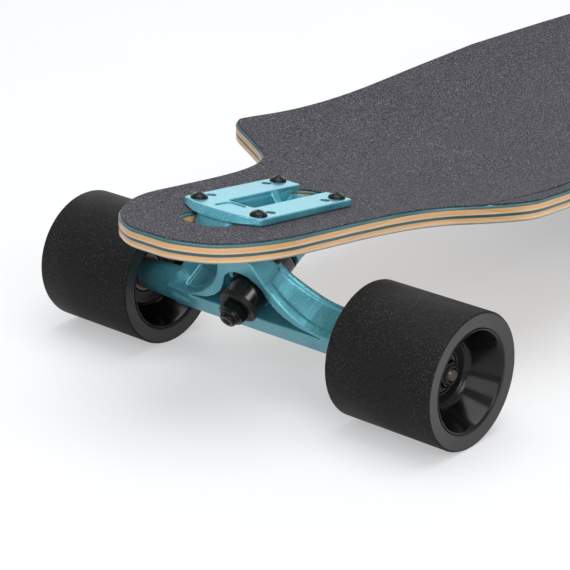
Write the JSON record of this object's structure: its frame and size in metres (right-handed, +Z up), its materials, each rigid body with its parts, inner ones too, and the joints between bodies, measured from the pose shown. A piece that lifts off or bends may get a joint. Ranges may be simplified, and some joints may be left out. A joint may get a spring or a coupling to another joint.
{
  "type": "electric skateboard",
  "caption": "Drop-through longboard with a rockered concave deck, reverse-kingpin trucks, black wheels, rear hub motors and a slim battery box under the deck.",
  "frame": {"origin": "on the ground under the middle of the deck", "axes": "+X to the nose, +Y to the left rail, +Z up from the ground"},
  "size_m": [0.8454, 0.2748, 0.1092],
  "materials": {
    "maple_ply": "satin",
    "grip_tape": "gritty",
    "teal_paint": "satin",
    "black_bushing": "satin",
    "black_steel": "blackened",
    "axle_steel": "dark",
    "black_urethane": "matte",
    "wheel_core": "gloss",
    "bearing_shield": "satin",
    "motor_can": "black anodised",
    "stator": "satin",
    "enclosure_shell": "matte",
    "battery_wrap": "shrink film",
    "controller_case": "satin",
    "cable_sheath": "satin"
  },
  "bodies": {
    "deck_assembly": {"deck": "maple_ply", "grip_tape": "grip_tape", "front_baseplate": "teal_paint", "front_pivot_cup": "black_bushing", "front_boardside_bushing": "black_bushing", "front_roadside_bushing": "black_bushing", "front_kingpin": "black_steel", "front_kingpin_nut": "black_steel", "front_boardside_washer": "black_steel", "front_roadside_washer": "black_steel", "front_mount_screw_outer_left": "black_steel", "front_mount_screw_outer_right": "black_steel", "front_mount_screw_inner_left": "black_steel", "front_mount_screw_inner_right": "black_steel", "rear_baseplate": "teal_paint", "rear_pivot_cup": "black_bushing", "rear_boardside_bushing": "black_bushing", "rear_roadside_bushing": "black_bushing", "rear_kingpin": "black_steel", "rear_kingpin_nut": "black_steel", "rear_boardside_washer": "black_steel", "rear_roadside_washer": "black_steel", "rear_mount_screw_outer_left": "black_steel", "rear_mount_screw_outer_right": "black_steel", "rear_mount_screw_inner_left": "black_steel", "rear_mount_screw_inner_right": "black_steel", "rear_left_cable_trunk": "cable_sheath", "rear_right_cable_trunk": "cable_sheath", "enclosure": "enclosure_shell", "enclosure_gasket": "black_bushing", "battery_pack": "battery_wrap", "speed_controller": "controller_case", "charge_port": "enclosure_shell"},
    "front_hanger": {"front_hanger": "teal_paint", "front_axle": "axle_steel", "front_left_axle_nut": "axle_steel", "front_right_axle_nut": "axle_steel"},
    "rear_hanger": {"rear_hanger": "teal_paint", "rear_axle": "axle_steel", "rear_left_axle_nut": "axle_steel", "rear_right_axle_nut": "axle_steel", "rear_left_motor_stator": "stator", "rear_right_motor_stator": "stator", "rear_left_motor_cable": "cable_sheath", "rear_right_motor_cable": "cable_sheath"},
    "front_left_wheel": {"front_left_tyre": "black_urethane", "front_left_wheel_core": "wheel_core", "front_left_inner_bearing": "bearing_shield", "front_left_outer_bearing": "bearing_shield"},
    "rear_left_wheel": {"rear_left_tyre": "black_urethane", "rear_left_motor_rotor": "motor_can"},
    "front_right_wheel": {"front_right_tyre": "black_urethane", "front_right_wheel_core": "wheel_core", "front_right_inner_bearing": "bearing_shield", "front_right_outer_bearing": "bearing_shield"},
    "rear_right_wheel": {"rear_right_tyre": "black_urethane", "rear_right_motor_rotor": "motor_can"},
    "power_button": {"power_button": "enclosure_shell"},
    "charge_port_cover": {"charge_port_cover": "black_bushing"}
  },
  "joints": [
    {"name": "front_steer", "type": "hinge", "parent": "deck_assembly", "child": "front_hanger", "pos_m": [0.33895, 0, 0.05891], "axis": [0.5446, 0, 0.8387], "range_deg": [-15, 15], "stiffness_Nm_per_rad": 60, "deforming": ["front_boardside_bushing", "front_roadside_bushing"]},
    {"name": "rear_steer", "type": "hinge", "parent": "deck_assembly", "child": "rear_hanger", "pos_m": [-0.33895, 0, 0.05891], "axis": [-0.5446, 0, 0.8387], "range_deg": [-15, 15], "stiffness_Nm_per_rad": 60, "deforming": ["rear_boardside_bushing", "rear_roadside_bushing"]},
    {"name": "front_left_wheel_spin", "type": "hinge", "parent": "front_hanger", "child": "front_left_wheel", "pos_m": [0.333, 0.10415, 0.0369], "axis": [0, 1, 0], "continuous": true},
    {"name": "front_right_wheel_spin", "type": "hinge", "parent": "front_hanger", "child": "front_right_wheel", "pos_m": [0.333, -0.10415, 0.0369], "axis": [0, 1, 0], "continuous": true},
    {"name": "rear_left_wheel_spin", "type": "hinge", "parent": "rear_hanger", "child": "rear_left_wheel", "pos_m": [-0.333, 0.10415, 0.0369], "axis": [0, 1, 0], "continuous": true},
    {"name": "rear_right_wheel_spin", "type": "hinge", "parent": "rear_hanger", "child": "rear_right_wheel", "pos_m": [-0.333, -0.10415, 0.0369], "axis": [0, 1, 0], "continuous": true},
    {"name": "power_button_press", "type": "slide", "parent": "deck_assembly", "child": "power_button", "axis": [0, -1, 0], "range_m": [0, 0.0012], "stiffness_N_per_m": 400},
    {"name": "charge_cover_hinge", "type": "hinge", "parent": "deck_assembly", "child": "charge_port_cover", "pos_m": [-0.14, -0.0739, 0.0632], "axis": [-1, 0, 0], "range_deg": [0, 110]}
  ]
}
